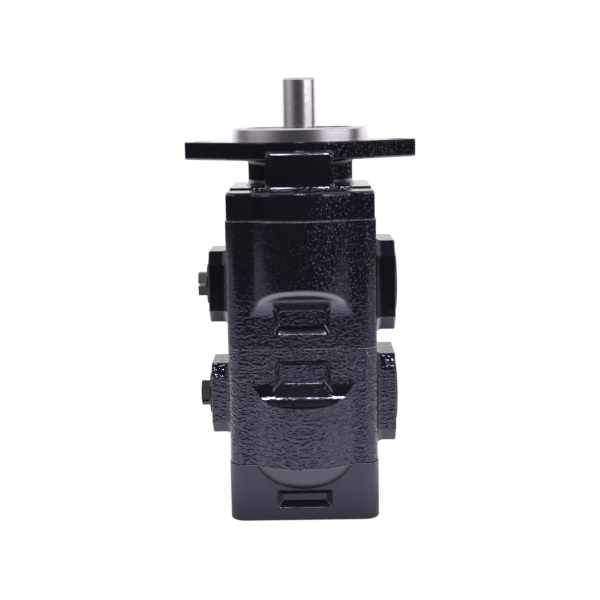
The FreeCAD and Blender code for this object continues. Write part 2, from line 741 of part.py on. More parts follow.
def involute_gap(sketch, middle_angle):
    """one gap between teeth: involute flanks down to the base circle, then one round root"""
    pitch_radius = value("gear_centre_distance / 2")
    pressure = math.radians(value("pressure_angle"))
    base_radius = pitch_radius * math.cos(pressure)
    pitch_gap = math.pi * pitch_radius / value("gear_teeth") + value("tooth_thinning")
    base_half_angle = pitch_gap / (2 * pitch_radius) - (math.tan(pressure) - pressure)
    outer_radius = value(f"{gear_tip_radius} + cut_margin") + pitch_gap / 10
    flank_points = 7
    flanks = []
    for way in (1, -1):
        points = []
        for number in range(flank_points):
            radius = base_radius + (outer_radius - base_radius) * (number / (flank_points - 1)) ** 2
            roll = math.acos(base_radius / radius)
            half_angle = base_half_angle + math.tan(roll) - roll
            points.append(polar(radius, math.radians(middle_angle) + way * half_angle))
        curve = Part.BSplineCurve()
        curve.interpolate(points)
        sketch.addGeometry(curve)
        flanks.append(points)
    root = polar(value(gear_root_radius), math.radians(middle_angle))
    sketch.addGeometry(Part.Arc(flanks[0][0], root, flanks[1][0]))
    sketch.addGeometry(Part.LineSegment(flanks[0][-1], flanks[1][-1]))


def polar(radius, angle):
    return FreeCAD.Vector(radius * math.cos(angle), radius * math.sin(angle), 0)


def gear_teeth(body, bottom, width, middle_angle):
    sketch = new_sketch(body, "gear_outline", "XY_Plane", bottom)
    circle(sketch, "0", "0", gear_tip_radius)
    pad(body, "gear_blank", sketch, width)
    sketch = new_sketch(body, "tooth_gap_outline", "XY_Plane", f"{bottom} + {width}")
    involute_gap(sketch, middle_angle)
    gap = pocket(body, "tooth_gap", sketch, width)
    polar_pattern(body, "tooth_gaps", gap, "gear_teeth")


def spline_teeth(body, bottom, length):
    sketch = new_sketch(body, "spline_outline", "XY_Plane", bottom)
    rectangle(sketch, "spline_root_radius / 2", "spline_tip_radius",
              "-spline_half_width", "spline_half_width")
    tooth = pad(body, "spline_tooth", sketch, length)
    polar_pattern(body, "spline_teeth", tooth, "spline_count")


def turned(body, name, steps):
    """turned shaft from (radius, height) steps, listed from the top down"""
    sketch = new_sketch(body, name, "XZ_Plane")
    outline(sketch, [("0", steps[0][1])] + steps + [("0", steps[-1][1])])
    revolve(body, "turned_shaft", sketch)


# a tooth of each drive gear and a gap of each idler lie on the line between their axes
half_pitch = 180 / value("gear_teeth")
drive_gap_angle = -90 + half_pitch
idler_gap_angle = 90


def drive_shaft():
    body = new_body("drive_shaft")
    journal_top = f"({seam_one} - journal_chamfer)"
    journal_end = f"({sleeve_middle} + sleeve_half_length + sleeve_end_gap)"
    stub_end = f"({sleeve_middle} + sleeve_end_gap)"
    turned(body, "shaft_profile", [
        ("shaft_radius - shaft_chamfer", "shaft_projection"),
        ("shaft_radius", "shaft_projection - shaft_chamfer"),
        ("shaft_radius", "seal_land_top + seal_land_radius - shaft_radius"),
        ("seal_land_radius", "seal_land_top"),
        ("seal_land_radius", journal_top),
        ("journal_radius", f"{journal_top} - journal_radius + seal_land_radius"),
        ("journal_radius", journal_end), ("spline_root_radius", journal_end),
        ("spline_root_radius", stub_end),
    ])
    gear_teeth(body, front_gear_bottom, "front_gear_width", drive_gap_angle)
    spline_teeth(body, stub_end, f"{journal_end} - {stub_end}")
    sketch = new_sketch(body, "keyway_outline", "XZ_Plane", "-(shaft_radius + cut_margin)")
    rectangle(sketch, "-keyway_width / 2", "keyway_width / 2", "shaft_projection - keyway_length",
              "shaft_projection + cut_margin")
    pocket(body, "keyway", sketch, "keyway_depth + cut_margin", forward=True)


def rear_drive_gear():
    body = new_body("rear_drive_gear")
    stub_top = f"({sleeve_middle} - sleeve_end_gap)"
    journal_top = f"({sleeve_middle} - sleeve_half_length - sleeve_end_gap)"
    turned(body, "shaft_profile", [
        ("spline_root_radius", stub_top), ("spline_root_radius", journal_top),
        ("journal_radius", journal_top), ("journal_radius", f"{seam_three} + journal_end_gap"),
    ])
    gear_teeth(body, rear_gear_bottom, "rear_gear_width", drive_gap_angle)
    spline_teeth(body, journal_top, f"{stub_top} - {journal_top}")


def idler_gear(label, top, bottom, gear_bottom, width):
    body = new_body(label, idler_y)
    high, low = f"({top} - journal_end_gap)", f"({bottom} + journal_end_gap)"
    turned(body, "shaft_profile", [
        ("journal_radius - journal_chamfer", high), ("journal_radius", f"{high} - journal_chamfer"),
        ("journal_radius", f"{low} + journal_chamfer"), ("journal_radius - journal_chamfer", low),
    ])
    gear_teeth(body, gear_bottom, width, idler_gap_angle)


def coupling_sleeve():
    body = new_body("coupling_sleeve")
    bottom = f"({sleeve_middle} - sleeve_half_length)"
    top = f"({sleeve_middle} + sleeve_half_length)"
    sketch = new_sketch(body, "sleeve_outline", "XY_Plane", bottom)
    circle(sketch, "0", "0", "sleeve_radius")
    pad(body, "sleeve", sketch, "2 * sleeve_half_length")
    holes(body, "sleeve_hole", [("0", "0")], "spline_root_radius + spline_clearance", top,
          "2 * sleeve_half_length")
    sketch = new_sketch(body, "spline_slot_outline", "XY_Plane", top)
    rectangle(sketch, "spline_root_radius / 2", "spline_tip_radius + spline_clearance",
              "-(spline_half_width + spline_clearance)", "spline_half_width + spline_clearance")
    slot = pocket(body, "spline_slot", sketch, "2 * sleeve_half_length")
    polar_pattern(body, "spline_slots", slot, "spline_count")


# bearing blocks, their bushes and their pressure seals

def c_ring(sketch, inner, outer, idler, gap):
    """C round one shaft: from near the other shaft, gap degrees off the line to it, round the pressure
    side and past the far side"""
    start, half_way, end = f"(-90 - {gap})", "(-180)", "(-315)"

    def at(radius, angle):
        up = f"({radius} * sin({angle}))"
        return f"({radius} * cos({angle}))", f"({idler_y} - {up})" if idler else up

    turn = -1 if idler else 1
    outline(sketch, [
        (*at(inner, start), f"{-turn} * {inner}"), (*at(inner, half_way), f"{-turn} * {inner}"),
        at(inner, end), (*at(outer, end), f"{turn} * {outer}"),
        (*at(outer, half_way), f"{turn} * {outer}"), at(outer, start),
    ])


def three_ring(body, name, start, inner, outer, upward, cut=False, gap="0"):
    """the shape of a 3 that opens to the suction side: two C rings that run into each other"""
    for part, idler in (("drive", False), ("idler", True)):
        sketch = new_sketch(body, f"{name}_{part}_outline", "XY_Plane", start)
        c_ring(sketch, inner, outer, idler, gap)
        if cut:
            pocket(body, f"{name}_{part}", sketch, "block_seal_depth", forward=upward)
        else:
            pad(body, f"{name}_{part}", sketch, "block_seal_depth", backward=not upward)


seal_inner = "(block_seal_radius - block_seal_width / 2)"
seal_outer = "(block_seal_radius + block_seal_width / 2)"
seal_split = f"({seal_outer} - block_backup_width)"

# the backup ring stops clear of the seal round the other shaft
backup_gap = (f"(block_backup_gap + acos(({seal_outer}^2 + gear_centre_distance^2 - {seal_split}^2)"
              f" / (2 * {seal_outer} * gear_centre_distance)) / 1deg)")


def bearing_block(name, outer_face, length, faces_up):
    """bearing block with its outer face against a casting, its bushes, its seal and the seal's backup"""
    body = new_body(f"{name}_bearing_block")
    bottom = f"({outer_face} - {length})" if faces_up else outer_face
    gear_face = bottom if faces_up else f"({outer_face} + {length})"
    shafts = [("0", "0"), ("0", idler_y)]
    for part, (x, y) in zip(("drive", "idler"), shafts):
        sketch = new_sketch(body, f"{part}_side_outline", "XY_Plane", bottom)
        circle(sketch, x, y, f"({pocket_radius} - block_clearance)")
        pad(body, f"{part}_side", sketch, length)
    holes(body, "bush_bores", shafts, bush_outer_radius, f"{bottom} + {length}", length)
    sketch = new_sketch(body, "relief_outline", "XY_Plane", gear_face)
    for way in ("-1", "1"):
        rectangle(sketch, f"({way} * relief_half_width / 2)", f"({way} * {gear_tip_radius})",
                  f"{middle_y} - relief_half_width", f"{middle_y} + relief_half_width")
    pocket(body, "relief_pockets", sketch, "relief_depth", forward=faces_up)
    three_ring(body, "seal_groove", outer_face, seal_inner, seal_outer, not faces_up, cut=True)

    body = new_body(f"{name}_bushes")
    for part, (x, y) in zip(("drive", "idler"), shafts):
        sketch = new_sketch(body, f"{part}_bush_outline", "XY_Plane", bottom)
        circle(sketch, x, y, bush_outer_radius)
        circle(sketch, x, y, bush_bore_radius)
        pad(body, f"{part}_bush", sketch, length)
    body = new_body(f"{name}_block_seal")
    three_ring(body, "seal", outer_face, seal_inner, seal_split, not faces_up)
    body = new_body(f"{name}_backup_ring")
    three_ring(body, "ring", outer_face, seal_split, seal_outer, not faces_up, gap=backup_gap)


# seals and fasteners

def body_seal(name, joint, upward):
    body = new_body(name)
    sketch = new_sketch(body, "seal_outline", "XY_Plane", joint)
    stadium(sketch, "(body_seal_radius + body_seal_width / 2)")
    stadium(sketch, "(body_seal_radius - body_seal_width / 2)")
    pad(body, "seal", sketch, "body_seal_depth", backward=not upward)


ring_groove_top = "(-pilot_recess_floor - ring_place)"
seal_seat = f"({ring_groove_top} - ring_thickness - ring_clearance)"


def shaft_seal(name, top):
    """lip seal: cased outer ring, thin web and a lip that leans in to the shaft"""
    body = new_body(name)
    lip = "(seal_land_radius + seal_lip_clearance)"
    lip_root = "(seal_land_radius + seal_lip_depth)"
    low = f"({top} - shaft_seal_length)"
    lip_low = f"({low} + seal_web_thickness / 2)"
    under_web = f"({top} - seal_web_thickness)"
    sketch = new_sketch(body, "seal_profile", "XZ_Plane")
    outline(sketch, [
        ("seal_bore_radius", top), ("seal_bore_radius", low), ("seal_bore_radius - seal_case_wall", low),
        ("seal_bore_radius - seal_case_wall", under_web), (lip_root, under_web), (lip_root, lip_low),
        (f"{lip} + seal_lip_depth / 3", lip_low), (lip, f"{lip_low} + seal_case_wall"),
        (f"{lip} + seal_lip_depth / 2", top),
    ])
    revolve(body, "seal", sketch)


def retaining_ring():
    body = new_body("retaining_ring")
    outer = "(seal_bore_radius + ring_groove_depth - ring_clearance)"
    top = f"({ring_groove_top} - ring_clearance / 2)"
    sketch = new_sketch(body, "ring_outline", "XY_Plane", top)
    circle(sketch, "0", "0", outer)
    circle(sketch, "0", "0", f"{outer} - ring_radial_width")
    pad(body, "ring", sketch, "ring_thickness", backward=True)
    sketch = new_sketch(body, "gap_outline", "XY_Plane", top)
    rectangle(sketch, "-ring_radial_width", "ring_radial_width", "0", f"{outer} + cut_margin")
    pocket(body, "ring_gap", sketch, "ring_thickness")


head_bottom = f"({foot} + tie_bolt_sink_depth - washer_thickness - tie_bolt_head_height)"
head_top = f"({head_bottom} + tie_bolt_head_height)"


def tie_bolts():
    body = new_body("tie_bolts")
    sketch = new_sketch(body, "head_outline", "XY_Plane", head_bottom)
    for x, y in tie_bolt_places:
        circle(sketch, x, y, "tie_bolt_head_radius")
    pad(body, "heads", sketch, "tie_bolt_head_height")
    sketch = new_sketch(body, "shank_outline", "XY_Plane", head_top)
    for x, y in tie_bolt_places:
        circle(sketch, x, y, "tie_bolt_radius")
    pad(body, "shanks", sketch, f"{seam_one} + tie_bolt_grip - {head_top}")
    sketch = new_sketch(body, "socket_outline", "XY_Plane", head_bottom)
    for x, y in tie_bolt_places:
        hexagon(sketch, x, y, "tie_bolt_socket_radius")
    pocket(body, "sockets", sketch, "tie_bolt_socket_depth", forward=True)


def tie_bolt_washers():
    body = new_body("tie_bolt_washers")
    sketch = new_sketch(body, "washer_outline", "XY_Plane", head_top)
    for x, y in tie_bolt_places:
        circle(sketch, x, y, "washer_radius")
        circle(sketch, x, y, "tie_bolt_hole_radius")
    pad(body, "washers", sketch, "washer_thickness")


def dowel_pins():
    body = new_body("dowel_pins")
    for name, joint in (("front", seam_one), ("middle", seam_two), ("rear", seam_three)):
        sketch = new_sketch(body, f"{name}_dowel_outline", "XY_Plane", f"{joint} - dowel_half_length")
        for x in (f"-{dowel_x}", dowel_x):
            circle(sketch, x, middle_y, "dowel_radius")
        pad(body, f"{name}_dowels", sketch, "2 * dowel_half_length")


# transport plugs in the ports

def turned_point(along, across, z, turn):
    """a point of a plug's slot, turned about the port at height z"""
    y = f"{middle_y} + {along} * cos({turn}) - {across} * sin({turn})"
    return y, f"{z} + {along} * sin({turn}) + {across} * cos({turn})"


def pressure_port_plugs():
    """flanged hexagon plugs with a slot across the head"""
    body = new_body("pressure_port_plugs")
    flange_face = "(-port_boss_reach - pressure_plug_flange_height)"
    head_face = f"({flange_face} - pressure_plug_head_height)"
    for name, z, turn in (("upper", front_port_z, "0"), ("lower", rear_port_z, "lower_plug_turn")):
        sketch = new_sketch(body, f"{name}_thread_outline", "YZ_Plane", "-port_boss_reach")
        circle(sketch, middle_y, z, "pressure_port_radius - plug_thread_gap")
        pad(body, f"{name}_thread", sketch, "pressure_plug_length")
        sketch = new_sketch(body, f"{name}_flange_outline", "YZ_Plane", "-port_boss_reach")
        circle(sketch, middle_y, z, "pressure_plug_flange_radius")
        pad(body, f"{name}_flange", sketch, "pressure_plug_flange_height", backward=True)
        sketch = new_sketch(body, f"{name}_head_outline", "YZ_Plane", flange_face)
        hexagon(sketch, middle_y, z, "pressure_plug_head_radius", turn)
        pad(body, f"{name}_head", sketch, "pressure_plug_head_height", backward=True)
        sketch = new_sketch(body, f"{name}_slot_outline", "YZ_Plane", head_face)
        long = "(pressure_plug_head_radius + cut_margin)"
        wide = "(pressure_plug_slot_width / 2)"
        outline(sketch, [
            turned_point(f"({side} * {long})", f"({way} * {wide})", z, turn)
            for side, way in ((-1, -1), (1, -1), (1, 1), (-1, 1))
        ])
        pocket(body, f"{name}_slot", sketch, "pressure_plug_slot_depth", forward=True)


def suction_port_plugs():
    """low caps with a rounded rim and a hollow thread"""
    body = new_body("suction_port_plugs")
    cap_face = "(port_boss_reach + suction_plug_cap_height)"
    for name, z in (("upper", front_port_z), ("lower", rear_port_z)):
        sketch = new_sketch(body, f"{name}_cap_outline", "YZ_Plane", "port_boss_reach")
        circle(sketch, middle_y, z, "suction_plug_cap_radius")
        pad(body, f"{name}_cap", sketch, "suction_plug_cap_height")
        sketch = new_sketch(body, f"{name}_thread_outline", "YZ_Plane", "port_boss_reach")
        circle(sketch, middle_y, z, "suction_port_radius - plug_thread_gap")
        pad(body, f"{name}_thread", sketch, "suction_plug_length", backward=True)
        thread_end = "port_boss_reach - suction_plug_length"
        sketch = new_sketch(body, f"{name}_hollow_outline", "YZ_Plane", thread_end)
        circle(sketch, middle_y, z, "suction_port_radius - plug_thread_gap - plug_wall")
        pocket(body, f"{name}_hollow", sketch,
               "suction_plug_length + suction_plug_cap_height - plug_cap_wall", forward=True)
    rim = value(cap_face)
    dress(body, "Fillet", "cap_rims", "plug_rim_rounding", lambda edge: all_at(edge, "x", rim))


def build():
    front_cover()
    front_body()
    rear_body()
    rear_cover()
    drive_shaft()
    idler_gear("front_idler_gear", seam_one, seam_two, front_gear_bottom, "front_gear_width")
    coupling_sleeve()
    rear_drive_gear()
    idler_gear("rear_idler_gear", rear_pocket_top, seam_three, rear_gear_bottom, "rear_gear_width")
    bearing_block("front_section_front", seam_one, front_block_length, True)
    bearing_block("front_section_rear", seam_two, front_block_length, False)
    bearing_block("rear_section_front", rear_pocket_top, rear_block_length, True)
    bearing_block("rear_section_rear", seam_three, rear_block_length, False)
    body_seal("front_body_seal", seam_one, False)
    body_seal("middle_body_seal", seam_two, False)
    body_seal("rear_body_seal", seam_three, True)
    shaft_seal("outer_shaft_seal", seal_seat)
    shaft_seal("inner_shaft_seal", f"({seal_seat} - shaft_seal_length - seal_spacing)")
    retaining_ring()
    tie_bolts()
    tie_bolt_washers()
    dowel_pins()
    pressure_port_plugs()
    suction_port_plugs()
    document.recompute()


def check():
    for item in document.Objects:
        if "Invalid" in item.State or "Error" in item.State:
            raise ValueError(f"{item.Label} failed: {item.State}")
    for body in sub_parts:
        if body.Shape.isNull() or not body.Shape.isValid():
            raise ValueError(f"{body.Label} has no valid shape")


def export():
    os.makedirs("parts", exist_ok=True)
    for body in sub_parts:
        body.Shape.exportStep(os.path.join("parts", f"{body.Label}.step"))
        print(f"{body.Label}: {len(body.Shape.Solids)} solids, {body.Shape.Volume / 1000:.1f} cm3")


build()
check()
export()
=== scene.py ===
import math
import bpy
from mathutils import Matrix, Vector


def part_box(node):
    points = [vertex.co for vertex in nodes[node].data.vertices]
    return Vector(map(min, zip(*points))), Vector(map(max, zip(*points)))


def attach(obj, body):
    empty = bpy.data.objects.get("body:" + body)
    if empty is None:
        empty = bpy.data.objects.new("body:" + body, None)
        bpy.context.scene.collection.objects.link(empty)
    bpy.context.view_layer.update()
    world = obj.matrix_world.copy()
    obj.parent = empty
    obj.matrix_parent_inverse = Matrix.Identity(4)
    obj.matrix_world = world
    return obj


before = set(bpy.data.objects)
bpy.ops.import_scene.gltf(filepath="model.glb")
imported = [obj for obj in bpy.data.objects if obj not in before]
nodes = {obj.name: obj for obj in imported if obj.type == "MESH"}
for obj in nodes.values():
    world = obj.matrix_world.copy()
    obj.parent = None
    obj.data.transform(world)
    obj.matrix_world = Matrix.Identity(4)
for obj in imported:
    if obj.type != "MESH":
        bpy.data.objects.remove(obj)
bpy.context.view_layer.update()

mm = 0.001
print("stage: frame loaded,", len(nodes), "nodes")

# heights of the joints between the castings, and the middle between the two shafts, from the frame
seamHeights = [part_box("front_body")[1].z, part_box("rear_body")[1].z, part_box("rear_cover")[1].z]
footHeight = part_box("rear_cover")[0].z
middleY = (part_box("front_body")[0].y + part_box("front_body")[1].y) / 2

# settings that many nodes share; a mix of colours gives its result at output 2
eased = {"interpolation_type": "SMOOTHSTEP"}
colourMix = {"data_type": "RGBA"}

# a noise's middle level, and the levels between which most of it lies
noiseMiddle = 0.5
noiseSpan = (0.3, 0.7)


def linearColour(text):
    # sRGB hex to the linear values that the shaders want
    parts = [int(text[i:i + 2], 16) / 255 for i in (1, 3, 5)]
    return [c / 12.92 if c <= 0.04045 else ((c + 0.055) / 1.055) ** 2.4 for c in parts] + [1]


def grey(level):
    return (level, level, level, 1)


def blend(share, colours):
    # inputs for a mix of two hex colours
    return {0: share, 6: linearColour(colours[0]), 7: linearColour(colours[1])}


def span(value, start, end, low=0.0, high=1.0):
    # inputs for a range: low where the value is start, high where it is end
    return {"Value": value, "From Min": start, "From Max": end, "To Min": low, "To Max": high}


def scaleFor(width):
    # a noise's scale for marks that are this many millimetres wide
    return 1 / (width * mm)


def addNode(tree, kind, settings=None, inputs=None):
    # inputs are keyed by name or number; a socket is linked, anything else is a value
    made = tree.nodes.new(kind)
    for name, value in (settings or {}).items():
        setattr(made, name, value)
    for name, value in (inputs or {}).items():
        if isinstance(value, bpy.types.NodeSocket):
            tree.links.new(value, made.inputs[name])
        else:
            made.inputs[name].default_value = value
    return made


def setLevels(ramp, levels):
    # brightness along a ramp that runs from the first place given to the last
    start, reach = levels[0][0], levels[-1][0] - levels[0][0]
    stops = ramp.color_ramp.elements
    stops[0].position, stops[1].position = 0.0, 1.0
    stops[0].color, stops[1].color = grey(levels[0][1]), grey(levels[-1][1])
    for place, level in levels[1:-1]:
        stops.new((place - start) / reach).color = grey(level)


def newMaterial(name):
    material = bpy.data.materials.new(name)
    material.use_nodes = True
    material.node_tree.nodes.clear()
    return material, material.node_tree


def axisRadius(tree, axes):
    # distance from the object's own upright axis
    flatPlace = addNode(tree, "ShaderNodeCombineXYZ", None, {0: axes.outputs["X"], 1: axes.outputs["Y"]})
    radius = addNode(tree, "ShaderNodeVectorMath", {"operation": "LENGTH"}, {0: flatPlace.outputs[0]})
    return radius.outputs["Value"]


# the camera of the photograph: a long lens a little above the flange, tipped down and slightly rolled
photoCamera = {
    "place": (0.008, -0.950, 0.025),
    "pitch": 8.75,        # degrees down from level
    "yaw": 0.6,           # turned to the left
    "roll": 1.0,
    "focalPixels": 1257,
    "frameWidth": 600,
    "sensor": 36,         # millimetres, as wide as the frame
    "clip": (0.01, 50),
}


def makeCamera(look):
    data = bpy.data.cameras.new("photoCamera")
    data.sensor_width = look["sensor"]
    data.lens = look["focalPixels"] / look["frameWidth"] * look["sensor"]
    data.clip_start, data.clip_end = look["clip"]
    camera = bpy.data.objects.new("photoCamera", data)
    bpy.context.scene.collection.objects.link(camera)
    turn = Matrix.Rotation(math.radians(look["yaw"]), 4, "Z")
    aim = Matrix.Rotation(math.radians(90 - look["pitch"]), 4, "X")
    tilt = Matrix.Rotation(math.radians(-look["roll"]), 4, "Z")
    camera.matrix_world = Matrix.Translation(look["place"]) @ turn @ aim @ tilt
    bpy.context.scene.camera = camera


makeCamera(photoCamera)

# what the gloss mirrors beside and above the floor
studio = {
    # brightness by bearing in degrees: 0 is the camera's side, 90 the object's right
    "levels": [
        (-180, 1.0), (-160, 1.15), (-142, 1.15), (-129, 0.7), (-119, 0.32), (-101, 0.32), (-92, 0.5),
        (-66, 0.6), (-52, 0.36), (-38, 0.2), (-28, 0.11), (-18, 0.08), (6, 0.09), (20, 0.16),
        (31, 0.4), (40, 0.9), (50, 1.35), (62, 1.5), (78, 1.45), (89, 1.2), (98, 0.4), (106, 0.2),
        (112, 0.3), (124, 1.0), (136, 1.4), (160, 1.15), (180, 1.0)],
    "overhead": (0.03, 0.8),          # the ceiling, dark towards the camera and light to the back
    "overheadEdge": (-0.09, -0.03),   # where one turns into the other, as a lean from straight above
    "ceiling": (0.16, 0.42),          # sine of the elevation over which the sides fade into it
    "below": 0.03,
    "horizon": (-0.0305, -0.0255),    # sine of the elevation under which the dark below is mirrored
    "fill": 0.75,                     # even light for everything that isn't gloss
}


def makeWorld(look):
    world = bpy.data.worlds.new("studio")
    bpy.context.scene.world = world
    world.use_nodes = True
    tree = world.node_tree
    tree.nodes.clear()
    place = addNode(tree, "ShaderNodeTexCoord")
    axes = addNode(tree, "ShaderNodeSeparateXYZ", None, {0: place.outputs["Generated"]})
    toCamera = addNode(tree, "ShaderNodeMath", {"operation": "MULTIPLY"}, {0: axes.outputs["Y"], 1: -1.0})
    bearing = addNode(tree, "ShaderNodeMath", {"operation": "ARCTAN2"}, {
        0: axes.outputs["X"], 1: toCamera.outputs[0]})
    share = addNode(tree, "ShaderNodeMapRange", None, span(bearing.outputs[0], -math.pi, math.pi))
    walls = addNode(tree, "ShaderNodeValToRGB", None, {0: share.outputs[0]})
    setLevels(walls, look["levels"])
    rise = addNode(tree, "ShaderNodeMapRange", eased, span(axes.outputs["Z"], *look["ceiling"]))
    ceiling = addNode(tree, "ShaderNodeMapRange", eased, span(
        axes.outputs["Y"], *look["overheadEdge"], *look["overhead"]))
    above = addNode(tree, "ShaderNodeMix", colourMix, {
        0: rise.outputs[0], 6: walls.outputs[0], 7: ceiling.outputs[0]})
    horizon = addNode(tree, "ShaderNodeMapRange", eased, span(axes.outputs["Z"], *look["horizon"]))
    mirrored = addNode(tree, "ShaderNodeMix", colourMix, {
        0: horizon.outputs[0], 6: grey(look["below"]), 7: above.outputs[2]})
    ray = addNode(tree, "ShaderNodeLightPath")
    lit = addNode(tree, "ShaderNodeMix", colourMix, {
        0: ray.outputs["Is Glossy Ray"], 6: grey(look["fill"]), 7: mirrored.outputs[2]})
    room = addNode(tree, "ShaderNodeBackground", None, {"Color": lit.outputs[2], "Strength": 1.0})
    white = addNode(tree, "ShaderNodeBackground", None, {"Color": grey(1), "Strength": 1.0})
    seen = addNode(tree, "ShaderNodeMixShader", None, {
        0: ray.outputs["Is Camera Ray"], 1: room.outputs[0], 2: white.outputs[0]})
    addNode(tree, "ShaderNodeOutputWorld", None, {"Surface": seen.outputs[0]})


makeWorld(studio)

# the sheet that the pump stands on, in metres
floorLook = {
    "width": 7.0,
    "back": 3.5,
    "front": 1.3,
    "frontFade": (-0.90, -0.52),  # the white ends under the camera, so the upper half mirrors the dark
    "frontLevel": 0.03,
    # brightness in the gloss by distance from the shaft, with painted light and shade: a painted shadow
    # near the foot and the brightest ring a little way out
    "levels": [
        (0.0, 0.52), (0.11, 0.64), (0.15, 1.1), (0.19, 1.75), (0.25, 1.75), (0.35, 1.35), (0.45, 1.05),
        (0.6, 0.8), (0.8, 0.6), (1.1, 0.55), (1.65, 0.6), (1.88, 0.03), (3.5, 0.03)],
    "shade": (-0.1, 0.4),         # between these, sideways, the levels move closer to the shaft
    "shadeReach": 1.25,           # by this much on the right
    "paper": 0.85,
    "glow": 1.08,                 # plain white to the camera
    "glowShare": 0.85,            # the rest is paper, so that a soft shadow is left
}


def makeFloor(look):
    mesh = bpy.data.meshes.new("floor")
    half = look["width"] / 2
    corners = [(-half, -look["front"], footHeight), (half, -look["front"], footHeight),
               (half, look["back"], footHeight), (-half, look["back"], footHeight)]
    mesh.from_pydata(corners, [], [(0, 1, 2, 3)])
    floor = bpy.data.objects.new("floor", mesh)
    bpy.context.scene.collection.objects.link(floor)

    material, tree = newMaterial("whitePaperFloor")
    place = addNode(tree, "ShaderNodeTexCoord").outputs["Object"]
    axes = addNode(tree, "ShaderNodeSeparateXYZ", None, {0: place})
    lastLevel = look["levels"][-1][0]
    perMetre = addNode(tree, "ShaderNodeMapRange", eased, span(
        axes.outputs["X"], *look["shade"], 1 / lastLevel, look["shadeReach"] / lastLevel))
    share = addNode(tree, "ShaderNodeMath", {"operation": "MULTIPLY"}, {
        0: axisRadius(tree, axes), 1: perMetre.outputs[0]})
    ramp = addNode(tree, "ShaderNodeValToRGB", None, {0: share.outputs[0]})
    setLevels(ramp, look["levels"])
    front = addNode(tree, "ShaderNodeMapRange", eased, span(
        axes.outputs["Y"], *look["frontFade"], look["frontLevel"], 1.0))
    sheet = addNode(tree, "ShaderNodeEmission", None, {
        "Color": ramp.outputs[0], "Strength": front.outputs[0]})
    paper = addNode(tree, "ShaderNodeBsdfDiffuse", None, {"Color": grey(look["paper"])})
    glow = addNode(tree, "ShaderNodeEmission", None, {"Color": grey(1), "Strength": look["glow"]})
    ray = addNode(tree, "ShaderNodeLightPath")
    whiteShare = addNode(tree, "ShaderNodeMath", {"operation": "MULTIPLY"}, {
        0: ray.outputs["Is Camera Ray"], 1: look["glowShare"]})
    seen = addNode(tree, "ShaderNodeMixShader", None, {
        0: whiteShare.outputs[0], 1: paper.outputs[0], 2: glow.outputs[0]})
    mirrored = addNode(tree, "ShaderNodeMixShader", None, {
        0: ray.outputs["Is Glossy Ray"], 1: seen.outputs[0], 2: sheet.outputs[0]})
    addNode(tree, "ShaderNodeOutputMaterial", None, {"Surface": mirrored.outputs[0]})
    mesh.materials.append(material)


makeFloor(floorLook)

# soft boxes, in metres and watts; the two strips overhead give the short white glints under the rib
# and along the scoops
lamps = {
    "rightBox": {"place": (0.90, -0.90, 0.34), "aim": (0, 0, -0.1), "size": (0.34, 0.34), "power": 3.2},
    "leftBox": {"place": (-0.95, -0.55, 0.45), "aim": (0, 0, -0.1), "size": (0.3, 0.3), "power": 1.0},
    "stripLeft": {
        "place": (-0.052, -0.62, 0.95), "aim": (-0.052, -0.1, 0), "size": (0.05, 0.12), "power": 2.0},
    "stripRight": {
        "place": (0.045, -0.62, 0.95), "aim": (0.045, -0.1, 0), "size": (0.05, 0.12), "power": 2.0},
}


def makeLamps(look):
    for name, lamp in look.items():
        data = bpy.data.lights.new(name, "AREA")
        data.shape = "RECTANGLE"
        data.size, data.size_y = lamp["size"]
        data.energy = lamp["power"]
        made = bpy.data.objects.new(name, data)
        bpy.context.scene.collection.objects.link(made)
        way = Vector(lamp["aim"]) - Vector(lamp["place"])
        turn = way.to_track_quat("-Z", "Y").to_matrix().to_4x4()
        made.matrix_world = Matrix.Translation(lamp["place"]) @ turn


makeLamps(lamps)
print("stage: camera, studio and floor made")

# zones of the castings: the first two by distance in mm, the others by the rise of the surface's normal
castZones = {
    "bulge": (58.0, 62.0),       # out from the middle between the shafts
    "boss": (53.2, 54.5),        # out from the middle of the width
    "ledge": (0.05, 0.2),        # from a wall to what faces up
    "leaning": (-0.06, -0.32),   # from a wall to what leans out over the floor
    "underside": (-0.85, -0.6),  # from a level underside to what leans
}


# 1 on a port boss, on an outer face of any kind and on a ledge, 0 elsewhere, with soft edges
def castMasks(tree, axes, rise):
    fromMiddle = addNode(tree, "ShaderNodeMath", {"operation": "SUBTRACT"}, {
        0: axes.outputs["Y"], 1: middleY})
    depth = addNode(tree, "ShaderNodeMath", {"operation": "ABSOLUTE"}, {0: fromMiddle.outputs[0]})
    bulge = addNode(tree, "ShaderNodeMapRange", eased, span(
        depth.outputs[0], *[edge * mm for edge in castZones["bulge"]]))
    sideways = addNode(tree, "ShaderNodeMath", {"operation": "ABSOLUTE"}, {0: axes.outputs["X"]})
    boss = addNode(tree, "ShaderNodeMapRange", eased, span(
        sideways.outputs[0], *[edge * mm for edge in castZones["boss"]]))
    outer = addNode(tree, "ShaderNodeMath", {"operation": "MAXIMUM"}, {
        0: bulge.outputs[0], 1: boss.outputs[0]})
    ledge = addNode(tree, "ShaderNodeMapRange", eased, span(rise, *castZones["ledge"]))
    return {"boss": boss.outputs[0], "outer": outer.outputs[0], "ledge": ledge.outputs[0]}


